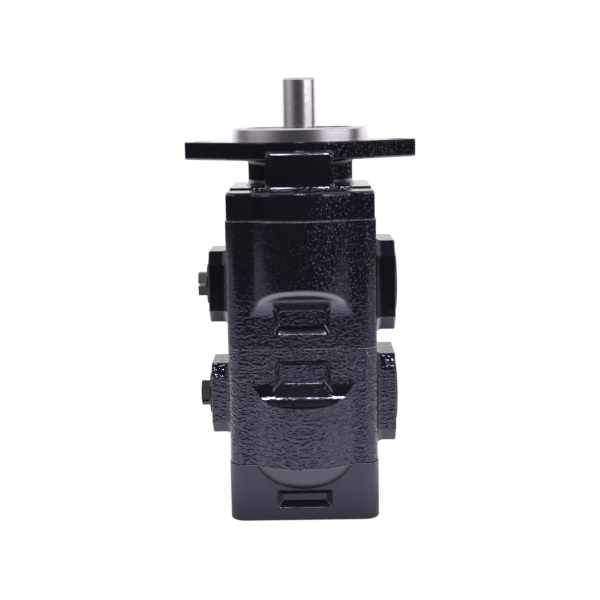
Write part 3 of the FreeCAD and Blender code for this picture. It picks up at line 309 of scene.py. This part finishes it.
# orange peel in creases, soft waves under it and pinholes from the sand grain, on rounded edges
def enamelSkin(tree, place, axes, edges, masks, look):
    (lowHeight, lowShare), (highHeight, highShare) = look["peelLow"], look["peelHigh"]
    peelShare = addNode(tree, "ShaderNodeMapRange", eased, span(
        axes.outputs["Z"], lowHeight, highHeight, lowShare, highShare))
    levelPeel = addNode(tree, "ShaderNodeMapRange", None, span(
        masks["ledge"], 0.0, 1.0, 1.0, look["levelPeel"]))
    bossPeel = addNode(tree, "ShaderNodeMapRange", None, span(
        masks["boss"], 0.0, 1.0, levelPeel.outputs[0], look["bossPeel"]))
    wallPeel = addNode(tree, "ShaderNodeMath", {"operation": "MULTIPLY"}, {
        0: peelShare.outputs[0], 1: bossPeel.outputs[0]})

    streaked = addNode(tree, "ShaderNodeMapping", None, {"Vector": place, "Scale": look["streakScale"]})
    peel = addNode(tree, "ShaderNodeTexNoise", None, {
        "Vector": streaked.outputs[0], "Scale": scaleFor(look["peelWidth"]), "Detail": 1.2,
        "Roughness": 0.6})
    fromLine = addNode(tree, "ShaderNodeMath", {"operation": "SUBTRACT"}, {
        0: peel.outputs["Fac"], 1: noiseMiddle})
    line = addNode(tree, "ShaderNodeMath", {"operation": "ABSOLUTE"}, {0: fromLine.outputs[0]})
    creases = addNode(tree, "ShaderNodeMapRange", eased, span(line.outputs[0], 0.0, look["creaseWidth"]))
    wrinkled = addNode(tree, "ShaderNodeMath", {"operation": "MULTIPLY"}, {
        0: creases.outputs[0], 1: wallPeel.outputs[0]})

    sand = addNode(tree, "ShaderNodeTexNoise", None, {
        "Vector": place, "Scale": scaleFor(look["sandWidth"]), "Detail": 1.0})
    rightward = addNode(tree, "ShaderNodeMapRange", eased, span(
        axes.outputs["X"], *[edge * mm for edge in look["pimpleSpan"]], *look["pimpleShare"]))
    sandShare = addNode(tree, "ShaderNodeMath", {"operation": "MULTIPLY"}, {
        0: rightward.outputs[0], 1: bossPeel.outputs[0]})
    pimples = addNode(tree, "ShaderNodeMapRange", eased, span(
        sand.outputs["Fac"], *look["pimpleLevels"], 0.0, sandShare.outputs[0]))
    skin = addNode(tree, "ShaderNodeMath", {"operation": "ADD"}, {
        0: wrinkled.outputs[0], 1: pimples.outputs[0]})

    # the rim of the flange leans in a little for draft, so it mirrors the dark far end of the floor
    rimReach = look["draftReach"] * mm
    lean = addNode(tree, "ShaderNodeMapRange", None, span(
        axes.outputs["Z"], -rimReach, 0.0, 0.0, look["draft"] * rimReach))
    waves = addNode(tree, "ShaderNodeTexNoise", None, {
        "Vector": streaked.outputs[0], "Scale": scaleFor(look["waveWidth"]), "Detail": 2.0,
        "Roughness": 0.5})
    swell = addNode(tree, "ShaderNodeMath", {"operation": "MULTIPLY_ADD"}, {
        0: waves.outputs["Fac"], 1: look["waveHeight"] * mm, 2: lean.outputs[0]})
    wide = addNode(tree, "ShaderNodeBump", None, {
        "Height": swell.outputs[0], "Distance": 1.0, "Strength": 1.0, "Normal": edges})
    fine = addNode(tree, "ShaderNodeBump", None, {
        "Height": skin.outputs[0], "Distance": look["peelHeight"] * mm, "Strength": 1.0,
        "Normal": wide.outputs[0]})
    return fine.outputs[0]


# painted reflection of the white floor: the surfaces that lean out over the floor are painted a little
# lighter, as if they mirrored it
def enamelColour(tree, place, rise, outer, look):
    leaning = addNode(tree, "ShaderNodeMapRange", eased, span(rise, *castZones["leaning"], 0.0, outer))
    under = addNode(tree, "ShaderNodeMapRange", eased, span(
        rise, *castZones["underside"], 0.0, look["floorSheenShare"]))
    paintedFloorSheen = addNode(tree, "ShaderNodeMath", {"operation": "MULTIPLY"}, {
        0: leaning.outputs[0], 1: under.outputs[0]})
    patches = addNode(tree, "ShaderNodeTexNoise", None, {
        "Vector": place, "Scale": scaleFor(look["patchWidth"]), "Detail": 1.0})
    wet = addNode(tree, "ShaderNodeMix", colourMix, blend(patches.outputs["Fac"], look["colours"]))
    # the painted floor reflection is mixed into the enamel's own colour here
    tint = addNode(tree, "ShaderNodeMix", colourMix, {
        0: paintedFloorSheen.outputs[0], 6: wet.outputs[2], 7: linearColour(look["floorSheenColour"])})
    return tint.outputs[2]


# gloss enamel sprayed over sand-cast iron: near-black with a violet cast, wet-looking, its skin drawn
# into orange peel with pinholes over the sand grain, so a highlight breaks up into streaks and specks
def castEnamel(name, look):
    material, tree = newMaterial(name)
    place = addNode(tree, "ShaderNodeTexCoord").outputs["Object"]
    axes = addNode(tree, "ShaderNodeSeparateXYZ", None, {0: place})
    edges = addNode(tree, "ShaderNodeBevel", {"samples": 4}, {"Radius": look["edgeRadius"] * mm})
    facing = addNode(tree, "ShaderNodeSeparateXYZ", None, {0: edges.outputs[0]})
    rise = facing.outputs["Z"]
    masks = castMasks(tree, axes, rise)
    wetter = addNode(tree, "ShaderNodeMath", {"operation": "MAXIMUM"}, {
        0: masks["outer"], 1: masks["ledge"]})
    gloss = addNode(tree, "ShaderNodeMapRange", None, span(
        wetter.outputs[0], 0.0, 1.0, look["roughness"], look["outerRoughness"]))
    inputs = {
        "Base Color": enamelColour(tree, place, rise, masks["outer"], look),
        "Roughness": gloss.outputs[0],
        "Normal": enamelSkin(tree, place, axes, edges.outputs[0], masks, look),
        "IOR": look["ior"],
        "Specular Tint": linearColour(look["sheenTint"]),
    }
    if "bareZones" in look:
        inputs.update(bareMachining(tree, place, axes, look, inputs))
    enamel = addNode(tree, "ShaderNodeBsdfPrincipled", None, inputs)
    addNode(tree, "ShaderNodeOutputMaterial", None, {"Surface": enamel.outputs[0]})
    return material


def toolRings(tree, radius, axes, look):
    # fine rings round the axis, as a turning tool or a grinding wheel leaves them
    path = addNode(tree, "ShaderNodeCombineXYZ", None, {0: radius, 1: axes.outputs["Z"]})
    rings = addNode(tree, "ShaderNodeTexNoise", None, {
        "Vector": path.outputs[0], "Scale": scaleFor(look["ringPitch"]), "Detail": 3.0})
    relief = addNode(tree, "ShaderNodeBump", None, {
        "Height": rings.outputs["Fac"], "Distance": look["ringHeight"] * mm, "Strength": 1.0})
    return relief.outputs[0]


# the pilot, its recess and the bore were turned after painting: bare iron with fine tool rings
def bareMachining(tree, place, axes, look, painted):
    radius = axisRadius(tree, axes)
    bare = 0.0    # becomes a mask, 1 on bare iron
    for reach, lowest in look["bareZones"]:
        within = addNode(tree, "ShaderNodeMath", {"operation": "LESS_THAN"}, {0: radius, 1: reach * mm})
        above = addNode(tree, "ShaderNodeMath", {"operation": "GREATER_THAN"}, {
            0: axes.outputs["Z"], 1: lowest * mm})
        zone = addNode(tree, "ShaderNodeMath", {"operation": "MINIMUM"}, {
            0: within.outputs[0], 1: above.outputs[0]})
        bare = addNode(tree, "ShaderNodeMath", {"operation": "MAXIMUM"}, {
            0: bare, 1: zone.outputs[0]}).outputs[0]
    smudges = addNode(tree, "ShaderNodeTexNoise", None, {
        "Vector": place, "Scale": scaleFor(look["smudgeWidth"]), "Detail": 4.0, "Roughness": 0.65})
    iron = addNode(tree, "ShaderNodeMix", colourMix, blend(smudges.outputs["Fac"], look["ironColours"]))
    colour = addNode(tree, "ShaderNodeMix", colourMix, {
        0: bare, 6: painted["Base Color"], 7: iron.outputs[2]})
    gloss = addNode(tree, "ShaderNodeMix", {"data_type": "FLOAT"}, {
        0: bare, 2: painted["Roughness"], 3: look["ironRoughness"]})
    normal = addNode(tree, "ShaderNodeMix", {"data_type": "VECTOR"}, {
        0: bare, 4: painted["Normal"], 5: toolRings(tree, radius, axes, look)})
    sheen = addNode(tree, "ShaderNodeMix", colourMix, {0: bare, 6: painted["Specular Tint"], 7: grey(1)})
    return {"Base Color": colour.outputs[2], "Roughness": gloss.outputs[0], "Normal": normal.outputs[1],
            "Metallic": bare, "Specular Tint": sheen.outputs[2]}


# widths and heights are in mm, the peel's heights in the frame's metres
bodyEnamel = {
    "colours": ("#100f16", "#14131a"),
    "patchWidth": 26,
    "sheenTint": "#dfd8ff",
    "ior": 1.75,
    "outerRoughness": 0.12,            # on bulges, bosses and ledges
    "roughness": 0.12,
    "floorSheenShare": 1.0,                  # share of the painted floor reflection where it is strongest
    # colour of the painted floor reflection on surfaces that lean out over the floor
    "floorSheenColour": "#75727f",
    "edgeRadius": 0.8,
    "waveWidth": 5.0,
    "waveHeight": 0.06,
    "peelWidth": 3.2,
    "peelHeight": 0.12,
    "peelLow": (seamHeights[1] + 20 * mm, 1.0),     # height, and how strong the peel is there
    "peelHigh": (seamHeights[0] - 30 * mm, 0.03),
    "bossPeel": 0.1,                   # what is left of peel and pimples on a port boss
    "levelPeel": 0.05,                 # and on a ledge elsewhere
    "creaseWidth": 0.2,
    "streakScale": (0.6, 0.6, 1.0),    # the peel runs sideways
    "sandWidth": 1.5,
    "pimpleLevels": (0.58, 0.72),      # of the sand's noise, from bare to a full pimple
    "pimpleSpan": (-15, 20),           # sideways, from the left share to the right one
    "pimpleShare": (0.25, 1.0),
    "draft": 0.0,                      # slope of the flange's rim
    "draftReach": 15,                  # height over which it leans
}
coverEnamel = {
    **bodyEnamel,
    "outerRoughness": 0.06,
    "roughness": 0.06,
    "edgeRadius": 1.5,
    "waveHeight": 0.006,
    "peelLow": (seamHeights[0], 0.03),
    "peelHigh": (0.0, 0.03),
    "bossPeel": 1.0,
    "levelPeel": 1.0,
    "pimpleShare": (0.06, 0.55),
    "draft": 0.045,
    "bareZones": ((51.3, 0.2), (40.3, -2.7), (23.8, -30.0)),   # radius and lowest height of each
    "ringPitch": 0.7,
    "ringHeight": 0.012,
    "smudgeWidth": 9,
    "ironColours": ("#dcd4e0", "#f3ecf6"),
    "ironRoughness": 0.14,
}
rearBodyEnamel = {
    **bodyEnamel,
    "outerRoughness": 0.1,
    "roughness": 0.17,
    # a darker painted floor reflection on this casting
    "floorSheenColour": "#56535f",
    "peelHeight": 0.38,
    "peelLow": (seamHeights[2], 0.9),
    "peelHigh": (seamHeights[1], 1.1),
    "bossPeel": 0.5,
}
rearCoverEnamel = {
    **bodyEnamel,
    "outerRoughness": 0.2,
    "roughness": 0.34,
    # a darker painted floor reflection on this casting
    "floorSheenColour": "#56535f",
    "edgeRadius": 0.4,
    "waveHeight": 0.04,
    "peelLow": (seamHeights[2] - 16 * mm, 0.03),
    "peelHigh": (seamHeights[2], 0.3),
    "pimpleShare": (0.05, 0.1),
}


def mottled(tree, noise, look):
    # gloss and colour wander between two values with the noise
    gloss = addNode(tree, "ShaderNodeMapRange", None, span(noise, *noiseSpan, *look["roughness"]))
    tint = addNode(tree, "ShaderNodeMix", colourMix, blend(noise, look["colours"]))
    return {"Base Color": tint.outputs[2], "Roughness": gloss.outputs[0]}


# turned, ground and cast metals: their tone, their gloss and the rings that the tool left round the axis
def turnedMetal(name, look):
    material, tree = newMaterial(name)
    place = addNode(tree, "ShaderNodeTexCoord").outputs["Object"]
    axes = addNode(tree, "ShaderNodeSeparateXYZ", None, {0: place})
    marks = addNode(tree, "ShaderNodeTexNoise", None, {
        "Vector": place, "Scale": scaleFor(look["markWidth"]), "Detail": 4.0, "Roughness": 0.7})
    metal = addNode(tree, "ShaderNodeBsdfPrincipled", None, {
        **mottled(tree, marks.outputs["Fac"], look), "Metallic": 1.0,
        "Normal": toolRings(tree, axisRadius(tree, axes), axes, look)})
    addNode(tree, "ShaderNodeOutputMaterial", None, {"Surface": metal.outputs[0]})
    return material


# ground and polished alloy steel: bright, with rings that pull a reflection out along the shaft
groundSteel = {"ringPitch": 0.45, "markWidth": 3.2, "ringHeight": 0.006, "roughness": (0.12, 0.22),
               "colours": ("#b4acba", "#fff9ff")}
# extruded aluminium, face-milled: pale and even
milledAluminium = {"ringPitch": 0.6, "markWidth": 4, "ringHeight": 0.008, "roughness": (0.3, 0.42),
                   "colours": ("#c9c9cc", "#dcdcde")}
# leaded bronze lining: warm, dull from its lead
leadedBronze = {"ringPitch": 0.5, "markWidth": 1.5, "ringHeight": 0.006, "roughness": (0.32, 0.48),
                "colours": ("#a98658", "#c29d6b")}
# phosphated spring steel: dark grey and matt
phosphatedSteel = {"ringPitch": 0.9, "markWidth": 0.8, "ringHeight": 0.01, "roughness": (0.45, 0.6),
                   "colours": ("#4a4a4c", "#5c5b5e")}
# oil-blackened screw steel: near-black with a soft sheen
blackenedSteel = {"ringPitch": 0.8, "markWidth": 1.2, "ringHeight": 0.008, "roughness": (0.34, 0.46),
                  "colours": ("#2d2c30", "#3a393d")}


# moulded and pressed polymers: one colour, a low sheen and a fine skin
def mouldedPolymer(name, look):
    material, tree = newMaterial(name)
    place = addNode(tree, "ShaderNodeTexCoord").outputs["Object"]
    edges = addNode(tree, "ShaderNodeBevel", {"samples": 4}, {"Radius": look["edgeRadius"] * mm})
    grain = addNode(tree, "ShaderNodeTexNoise", None, {
        "Vector": place, "Scale": scaleFor(look["grainWidth"]), "Detail": 3.0})
    relief = addNode(tree, "ShaderNodeBump", None, {
        "Height": grain.outputs["Fac"], "Distance": look["grainHeight"] * mm, "Strength": 1.0,
        "Normal": edges.outputs[0]})
    polymer = addNode(tree, "ShaderNodeBsdfPrincipled", None, {
        **mottled(tree, grain.outputs["Fac"], look), "Normal": relief.outputs[0], "IOR": look["ior"]})
    addNode(tree, "ShaderNodeOutputMaterial", None, {"Surface": polymer.outputs[0]})
    return material


# moulded polypropylene transport plugs: black, satin, faint flow marks
plugPlastic = {"edgeRadius": 0.5, "grainWidth": 0.8, "grainHeight": 0.02, "roughness": (0.28, 0.42),
               "colours": ("#16131c", "#201c28"), "ior": 1.49}
# nitrile rubber seals: dull black
sealRubber = {"edgeRadius": 0.2, "grainWidth": 0.5, "grainHeight": 0.01, "roughness": (0.55, 0.7),
              "colours": ("#1a1a1b", "#222223"), "ior": 1.52}
# filled polyamide backup rings: ivory, waxy
backupPlastic = {"edgeRadius": 0.2, "grainWidth": 0.6, "grainHeight": 0.008, "roughness": (0.38, 0.5),
                 "colours": ("#d8d2bf", "#e4dfcf"), "ior": 1.53}

finishes = {
    "frontCover": castEnamel("glossEnamelOnCoverCasting", coverEnamel),
    "frontBody": castEnamel("glossEnamelOnSandCastIron", bodyEnamel),
    "rearBody": castEnamel("glossEnamelOnCoarseCasting", rearBodyEnamel),
    "rearCover": castEnamel("glossEnamelOnRearCasting", rearCoverEnamel),
    "steel": turnedMetal("groundAlloySteel", groundSteel),
    "aluminium": turnedMetal("milledAluminium", milledAluminium),
    "bronze": turnedMetal("leadedBronze", leadedBronze),
    "spring": turnedMetal("phosphatedSpringSteel", phosphatedSteel),
    "screw": turnedMetal("blackenedScrewSteel", blackenedSteel),
    "plug": mouldedPolymer("mouldedPlugPlastic", plugPlastic),
    "rubber": mouldedPolymer("nitrileRubber", sealRubber),
    "backup": mouldedPolymer("filledPolyamide", backupPlastic),
}
nodeFinishes = {
    "front_cover": "frontCover", "front_body": "frontBody", "rear_body": "rearBody",
    "rear_cover": "rearCover", "retaining_ring": "spring", "tie_bolts": "screw",
    "tie_bolt_washers": "screw",
}
endingFinishes = {
    "_plugs": "plug", "_seal": "rubber", "_backup_ring": "backup", "_bearing_block": "aluminium",
    "_bushes": "bronze",
}


def finishFor(name):
    for ending, finish in endingFinishes.items():
        if name.endswith(ending):
            return finishes[finish]
    return finishes[nodeFinishes.get(name, "steel")]


for name, part in nodes.items():
    for slot in part.material_slots:
        slot.material = finishFor(name)
print("stage: finishes given to", len(nodes), "nodes")

# where the enamel bridged the joints between the castings it has cracked, and its broken edge shows as
# a thin pale line with gaps; lengths are in mm
jointPaint = {
    "castings": ("front_body", "rear_body", "rear_cover"),   # the lower one at each joint
    "lowered": (0.0, 0.0, 0.2),   # drop from each joint to its line
    "groove": 0.4,                # drop from the joint to the outline that is followed
    "outlineSlack": 0.03,         # how far a corner may be off the outline's height
    "spacing": 0.5,
    "radius": 0.13,
    "stretch": 2.2,               # of each bead, along the line
    "beadSizes": (0.7, 1.15),
    "beadSeed": 7,
    "kept": 0.4,                  # noise level above which paint is left
    "dashWidth": 6.0,
    "colours": ("#8f8c94", "#cfcdd4"),
    "grainWidth": 1.2,
    "roughness": 0.5,
    "ior": 1.5,
}


# the broken edge of dry enamel: pale and matt, grainy like chalk
def paintEdge(name, look):
    material, tree = newMaterial(name)
    place = addNode(tree, "ShaderNodeTexCoord").outputs["Object"]
    grain = addNode(tree, "ShaderNodeTexNoise", None, {
        "Vector": place, "Scale": scaleFor(look["grainWidth"]), "Detail": 2.0})
    tint = addNode(tree, "ShaderNodeMix", colourMix, blend(grain.outputs["Fac"], look["colours"]))
    broken = addNode(tree, "ShaderNodeBsdfPrincipled", None, {
        "Base Color": tint.outputs[2], "Roughness": look["roughness"], "IOR": look["ior"]})
    addNode(tree, "ShaderNodeOutputMaterial", None, {"Surface": broken.outputs[0]})
    return material


def outerLoop(node, height, slack):
    # the outline of a casting at one height, walked along its mesh edges, which meet where their
    # corners are the same to the micrometre
    mesh = nodes[node].data
    corner = {}
    for vertex in mesh.vertices:
        if abs(vertex.co.z - height) < slack:
            corner[vertex.index] = (round(vertex.co.x, 6), round(vertex.co.y, 6))
    links = {}
    for edge in mesh.edges:
        a, b = (corner.get(v) for v in edge.vertices)
        if a and b and a != b:
            links.setdefault(a, set()).add(b)
            links.setdefault(b, set()).add(a)
    start = max(links, key=lambda place: place[0])
    loop, before = [start], None
    while True:
        ahead = [place for place in links[loop[-1]] if place != before and place not in loop[1:]]
        if not ahead or (len(loop) > 2 and start in ahead):
            return loop
        before = loop[-1]
        loop.append(max(ahead, key=lambda place: place[0] ** 2 + (place[1] - middleY) ** 2))


def jointPath(look):
    verts, edges = [], []
    for node, height, lowered in zip(look["castings"], seamHeights, look["lowered"]):
        loop = outerLoop(node, height - look["groove"] * mm, look["outlineSlack"] * mm)
        first = len(verts)
        verts += [(x, y, height - lowered * mm) for x, y in loop]
        edges += [(first + i, first + (i + 1) % len(loop)) for i in range(len(loop))]
        print("stage: joint outline of", len(loop), "points")
    mesh = bpy.data.meshes.new("jointPath")
    mesh.from_pydata(verts, edges, [])
    path = bpy.data.objects.new("jointPath", mesh)
    bpy.context.scene.collection.objects.link(path)
    return path


def paintBeads(look):
    # beads in a row along the path, left out where the noise is low
    tree = bpy.data.node_groups.new("jointPaint", "GeometryNodeTree")
    face = tree.interface
    face.new_socket("Geometry", in_out="INPUT", socket_type="NodeSocketGeometry")
    for title in ("Spacing", "Radius", "Stretch", "Kept", "Dash width"):
        face.new_socket(title, in_out="INPUT", socket_type="NodeSocketFloat")
    face.new_socket("Geometry", in_out="OUTPUT", socket_type="NodeSocketGeometry")
    given = addNode(tree, "NodeGroupInput").outputs
    curve = addNode(tree, "GeometryNodeMeshToCurve", None, {"Mesh": given["Geometry"]})
    points = addNode(tree, "GeometryNodeResampleCurve", {"mode": "LENGTH"}, {
        "Curve": curve.outputs[0], "Length": given["Spacing"]})
    scale = addNode(tree, "ShaderNodeMath", {"operation": "DIVIDE"}, {0: 1.0, 1: given["Dash width"]})
    cracks = addNode(tree, "ShaderNodeTexNoise", None, {
        "Scale": scale.outputs[0], "Detail": 3.0, "Roughness": 0.7})
    left = addNode(tree, "FunctionNodeCompare", {"operation": "GREATER_THAN"}, {
        0: cracks.outputs["Fac"], 1: given["Kept"]})
    drop = addNode(tree, "GeometryNodeMeshIcoSphere", None, {"Radius": given["Radius"], "Subdivisions": 1})
    tangent = addNode(tree, "GeometryNodeInputTangent")
    turn = addNode(tree, "FunctionNodeAlignRotationToVector", {"axis": "X"}, {
        "Vector": tangent.outputs[0]})
    size = addNode(tree, "FunctionNodeRandomValue", {"data_type": "FLOAT"}, {
        "Min": look["beadSizes"][0], "Max": look["beadSizes"][1], "Seed": look["beadSeed"]})
    long = addNode(tree, "ShaderNodeMath", {"operation": "MULTIPLY"}, {
        0: size.outputs[1], 1: given["Stretch"]})
    shape = addNode(tree, "ShaderNodeCombineXYZ", None, {
        0: long.outputs[0], 1: size.outputs[1], 2: size.outputs[1]})
    beads = addNode(tree, "GeometryNodeInstanceOnPoints", None, {
        "Points": points.outputs[0], "Selection": left.outputs[0], "Instance": drop.outputs[0],
        "Rotation": turn.outputs[0], "Scale": shape.outputs[0]})
    solid = addNode(tree, "GeometryNodeRealizeInstances", None, {"Geometry": beads.outputs[0]})
    painted = addNode(tree, "GeometryNodeSetMaterial", None, {
        "Geometry": solid.outputs[0], "Material": paintEdge("brokenEnamelEdge", look)})
    out = addNode(tree, "NodeGroupOutput")
    tree.links.new(painted.outputs[0], out.inputs[0])
    return tree


def makeJointPaint(look):
    path = jointPath(look)
    modifier = path.modifiers.new("jointPaint", "NODES")
    modifier.node_group = paintBeads(look)
    values = {"Spacing": look["spacing"] * mm, "Radius": look["radius"] * mm, "Stretch": look["stretch"],
              "Kept": look["kept"], "Dash width": look["dashWidth"] * mm}
    for item in modifier.node_group.interface.items_tree:
        if item.name in values:
            modifier[item.identifier] = values[item.name]
    bpy.context.view_layer.update()
    graph = bpy.context.evaluated_depsgraph_get()
    plain = bpy.data.meshes.new_from_object(path.evaluated_get(graph))
    piece = bpy.data.objects.new("joint_paint", plain)
    bpy.context.scene.collection.objects.link(piece)
    bpy.data.objects.remove(path)
    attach(piece, "housing")
    print("stage: joint paint of", len(plain.polygons), "faces")


makeJointPaint(jointPaint)

bpy.context.scene.view_settings.view_transform = "Standard"
